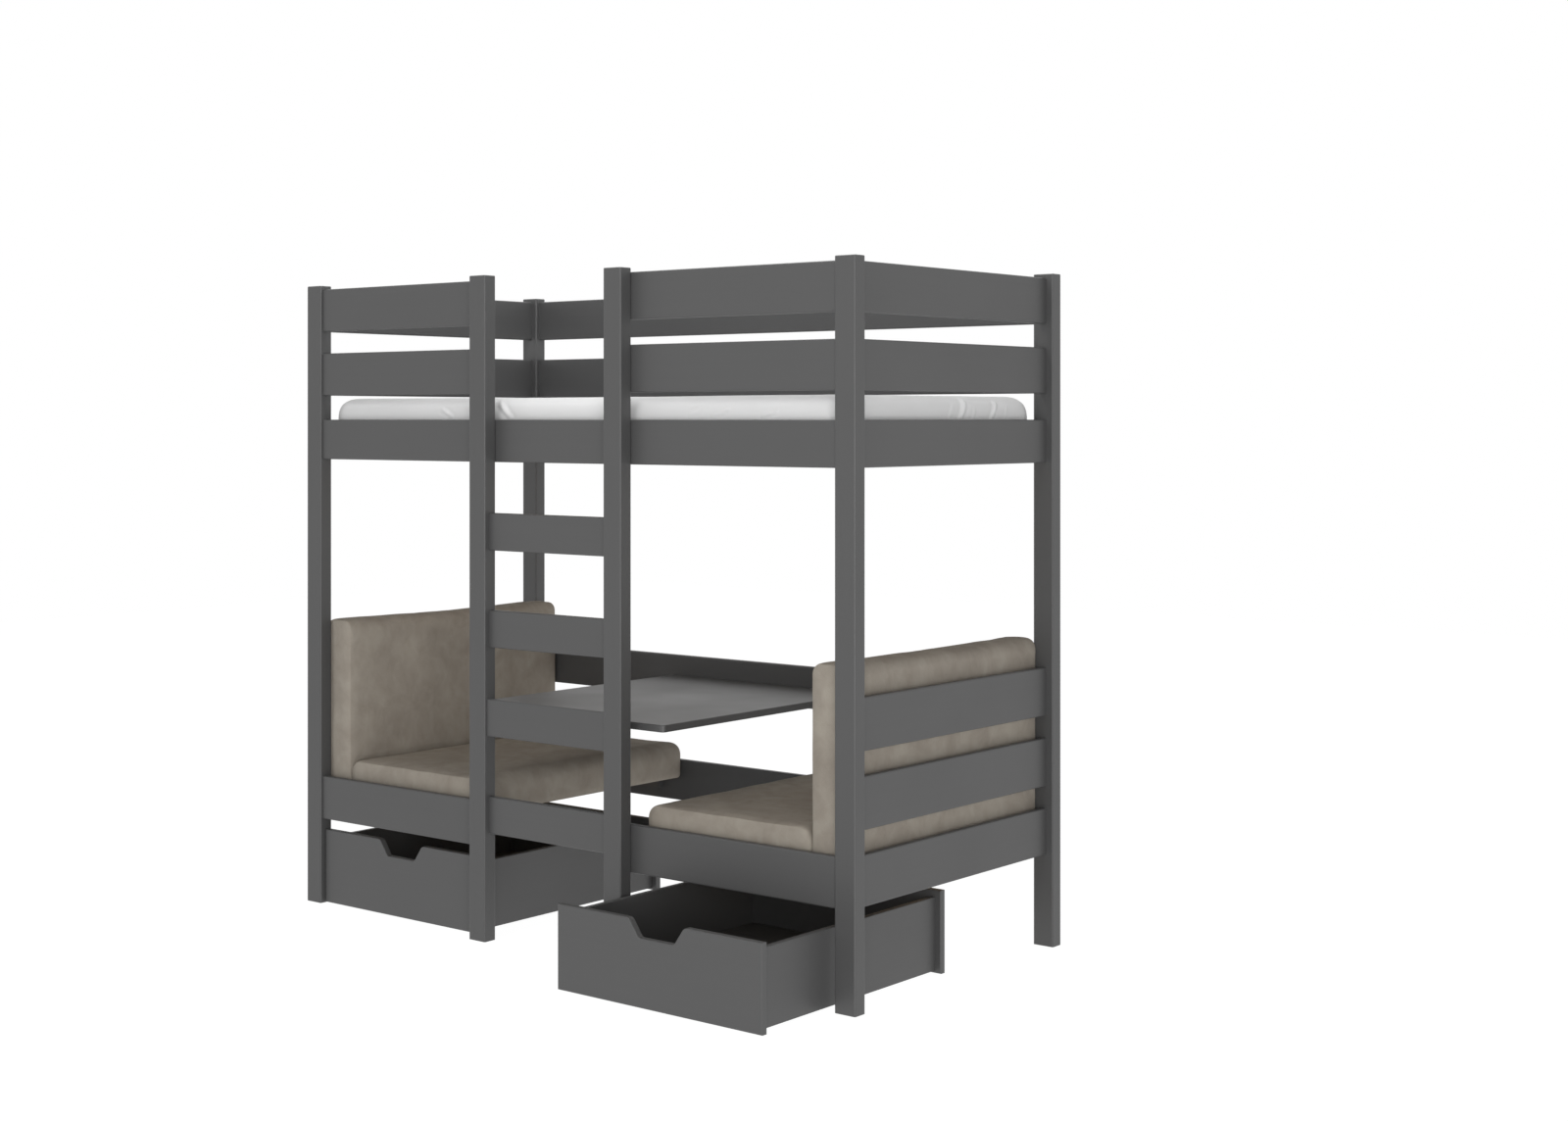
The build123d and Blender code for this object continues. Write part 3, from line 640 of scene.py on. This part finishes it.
# Seat cushions. Foam blocks in greige velour covers, sewn round their front and back end panels.
# They lie loose on the seat slats against the back cushions, and swell a little where nothing
# holds them.
brushed_share = 0.35
velour, tree, shader, place = new_finish("greige_velour")
patches = tree.nodes.new("ShaderNodeTexNoise")
patches.inputs["Scale"].default_value = 11.0
patches.inputs["Detail"].default_value = 4.0
patches.inputs["Roughness"].default_value = 0.55
patches.inputs["Distortion"].default_value = 0.7
brushed_stretch = tree.nodes.new("ShaderNodeMapping")
brushed_stretch.inputs["Scale"].default_value = (34.0, 34.0, 24.0)
brushed = tree.nodes.new("ShaderNodeTexNoise")
brushed.inputs["Scale"].default_value = 1.0
brushed.inputs["Detail"].default_value = 5.0
brushed.inputs["Distortion"].default_value = 0.5
mixed = tree.nodes.new("ShaderNodeMath")
mixed.operation = "MULTIPLY_ADD"
mixed.inputs[1].default_value = brushed_share
patch_share = tree.nodes.new("ShaderNodeMath")
patch_share.operation = "MULTIPLY"
patch_share.inputs[1].default_value = 1.0 - brushed_share
nap_tones = tree.nodes.new("ShaderNodeValToRGB")
nap_tones.color_ramp.elements[0].position = 0.36
nap_tones.color_ramp.elements[0].color = (0.272, 0.240, 0.203, 1.0)
nap_tones.color_ramp.elements[1].position = 0.64
nap_tones.color_ramp.elements[1].color = (0.347, 0.313, 0.265, 1.0)
pile = tree.nodes.new("ShaderNodeTexNoise")
pile.inputs["Scale"].default_value = 1500.0
pile.inputs["Detail"].default_value = 2.0
pile_tones = tree.nodes.new("ShaderNodeMixRGB")
pile_tones.blend_type = "OVERLAY"
pile_tones.inputs["Fac"].default_value = 0.25
pile_relief = tree.nodes.new("ShaderNodeBump")
pile_relief.inputs["Strength"].default_value = 0.35
pile_relief.inputs["Distance"].default_value = 0.0004
nap_relief = tree.nodes.new("ShaderNodeBump")
nap_relief.inputs["Strength"].default_value = 0.3
nap_relief.inputs["Distance"].default_value = 0.0012
shader.inputs["Roughness"].default_value = 0.88
shader.inputs["Specular IOR Level"].default_value = 0.25
connect(velour, [
    (place.outputs["Object"], patches.inputs["Vector"]),
    (place.outputs["Object"], brushed_stretch.inputs["Vector"]),
    (brushed_stretch.outputs["Vector"], brushed.inputs["Vector"]),
    (place.outputs["Object"], pile.inputs["Vector"]),
    (patches.outputs["Fac"], patch_share.inputs[0]),
    (brushed.outputs["Fac"], mixed.inputs[0]),
    (patch_share.outputs[0], mixed.inputs[2]),
    (mixed.outputs[0], nap_tones.inputs["Fac"]),
    (nap_tones.outputs["Color"], pile_tones.inputs["Color1"]),
    (pile.outputs["Fac"], pile_tones.inputs["Color2"]),
    (pile_tones.outputs["Color"], shader.inputs["Base Color"]),
    (pile.outputs["Fac"], pile_relief.inputs["Height"]),
    (mixed.outputs[0], nap_relief.inputs["Height"]),
    (pile_relief.outputs["Normal"], nap_relief.inputs["Normal"]),
    (nap_relief.outputs["Normal"], shader.inputs["Normal"]),
])


cushion_foot_radius = 0.009
cushion_end_radius = 0.011
cushion_step = 0.0125
cushion_end_loops = (0.0015, 0.004, 0.008)
cushion_swell = 0.002
cushion_slack = 0.004
cushion_unevenness = 0.0013
cushion_uneven_places = (0.06, 0.07, 0.09)
cushion_draw_in = 0.003
rest_margin = 0.0006
seam_margin = 0.0004


def cover_cushion(name, node, room, top_radius, resting, free):
    """One velour cushion in place of its CAD block. room is how far the cover stays inside the
    block at its low and its high corner, below zero where it stands proud; resting names the
    faces that stay flat, and free the one that pulls in between the end panels, each as
    (axis, end)."""
    low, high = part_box(node)
    low += Vector(room[0])
    high -= Vector(room[1])
    piece = foam_block(name, low, high, 1, (cushion_foot_radius, top_radius),
                       (cushion_end_radius, cushion_end_radius), cushion_step, cushion_end_loops)
    middle = (low + high) / 2
    half = (high - low) / 2
    held = {}
    for vert in piece.data.vertices:
        along = (vert.co.y - middle.y) / half.y
        axis, end = free
        side = (vert.co[axis] - middle[axis]) / half[axis] * end
        if side > 0:
            vert.co[axis] -= end * cushion_draw_in * (1 - along * along) * min(side, 1.0)
        for axis, end in resting:
            if end * (vert.co[axis] - middle[axis]) > half[axis] - rest_margin:
                held[vert.index] = 1.0
        near_end = half.y - abs(vert.co.y - middle.y)
        if abs(near_end - cushion_end_radius * (1 - math.sqrt(0.5))) < seam_margin:
            held[vert.index] = 1.0
    fill_cover(piece, held, cushion_swell, cushion_slack)
    crumple(piece, low, high, cushion_unevenness, cushion_uneven_places)
    piece.data.materials.append(velour)
    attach(piece, "bed")
    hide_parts(node)
    return piece


seat_top_radius = 0.034
cover_cushion("seat_cover_left", "seat_cushion_left",
              ((0.0006, 0.0, 0.0), (-0.004, 0.0, 0.0015)),
              seat_top_radius, [(2, -1), (0, -1)], (0, 1))
cover_cushion("seat_cover_right", "seat_cushion_right",
              ((-0.0045, 0.0, 0.0), (0.0006, 0.0, 0.0015)),
              seat_top_radius, [(2, -1), (0, 1)], (0, -1))


# Back cushions. The same foam and velour, standing on the slats behind the seats against the end
# boards. Their foam is nicked at the outer corners to go past the posts, and the seat cushions
# press the lower part of their free sides flat.
back_top_radius = 0.029
nick_margin = 0.0075
post_spare = 0.001
seat_spare = 0.0004


def press_post(cushion, post):
    """Pushes a cushion's foam out of the room of a post, towards the middle of the cushion. The
    nick is a little wider than the post, so that the cover's edges pass the post too."""
    low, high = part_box(post)
    middle_y = sum(vert.co.y for vert in cushion.data.vertices) / len(cushion.data.vertices)
    towards = 1 if middle_y > high.y else -1
    face = high.y + post_spare if towards > 0 else low.y - post_spare
    for vert in cushion.data.vertices:
        beside = low.x - nick_margin < vert.co.x < high.x + nick_margin
        if beside and towards * (face - vert.co.y) > 0:
            vert.co.y = face


def press_seat(cushion, seat):
    """Flattens the lower part of a back cushion where the seat cushion beside it presses."""
    low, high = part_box(seat)
    middle_x = sum(vert.co.x for vert in cushion.data.vertices) / len(cushion.data.vertices)
    towards = 1 if low.x > middle_x else -1
    face = low.x - seat_spare if towards > 0 else high.x + seat_spare
    for vert in cushion.data.vertices:
        if vert.co.z < high.z + seat_spare and towards * (vert.co.x - face) > 0:
            vert.co.x = face


back_left = cover_cushion("back_cover_left", "back_cushion_left",
                          ((0.0005, 0.0, 0.0), (-0.003, 0.0, 0.001)),
                          back_top_radius, [(2, -1), (0, -1)], (2, 1))
back_right = cover_cushion("back_cover_right", "back_cushion_right",
                           ((-0.0045, 0.0, 0.0), (0.0005, 0.0, 0.0035)),
                           back_top_radius, [(2, -1), (0, 1)], (2, 1))
for side, cushion in (("left", back_left), ("right", back_right)):
    settle(cushion)
    press_post(cushion, f"post_front_{side}")
    press_post(cushion, f"post_back_{side}")
    press_seat(cushion, f"seat_cushion_{side}")


# Table. A painted board with round corners that lies loose on a bearer behind the rung and on a
# cleat on the back rail.
dress(["table_top", "table_bearer", "table_cleat"], paint_long)


# Drawers. Four painted boards round a thin floor board that stands in their grooves; the front
# has a moulded hand hole in its upper edge.
for side in ("left", "right"):
    dress([f"drawer_{side}_front", f"drawer_{side}_back", f"drawer_{side}_floor"], paint_long)
    dress([f"drawer_{side}_side_left", f"drawer_{side}_side_right"], paint_cross)


# Castors. Folded zinc-plated housings fixed under the floor board, each with an axle riveted
# through it and a moulded black nylon wheel that turns on the axle.
nylon, tree, shader, place = new_finish("black_nylon")
grit = tree.nodes.new("ShaderNodeTexNoise")
grit.inputs["Scale"].default_value = 700.0
dust = tree.nodes.new("ShaderNodeTexNoise")
dust.inputs["Scale"].default_value = 90.0
blacks = tree.nodes.new("ShaderNodeMixRGB")
blacks.inputs["Color1"].default_value = (0.018, 0.018, 0.019, 1.0)
blacks.inputs["Color2"].default_value = (0.035, 0.035, 0.036, 1.0)
relief = tree.nodes.new("ShaderNodeBump")
relief.inputs["Strength"].default_value = 0.3
relief.inputs["Distance"].default_value = 0.0001
shader.inputs["Roughness"].default_value = 0.5
connect(nylon, [
    (place.outputs["Object"], grit.inputs["Vector"]),
    (place.outputs["Object"], dust.inputs["Vector"]),
    (dust.outputs["Fac"], blacks.inputs["Fac"]),
    (blacks.outputs["Color"], shader.inputs["Base Color"]),
    (grit.outputs["Fac"], relief.inputs["Height"]),
    (relief.outputs["Normal"], shader.inputs["Normal"]),
])
for side in ("left", "right"):
    dress([f"drawer_{side}_castor_frames"], zinc)
    dress([f"drawer_{side}_wheels_front", f"drawer_{side}_wheels_back"], nylon)
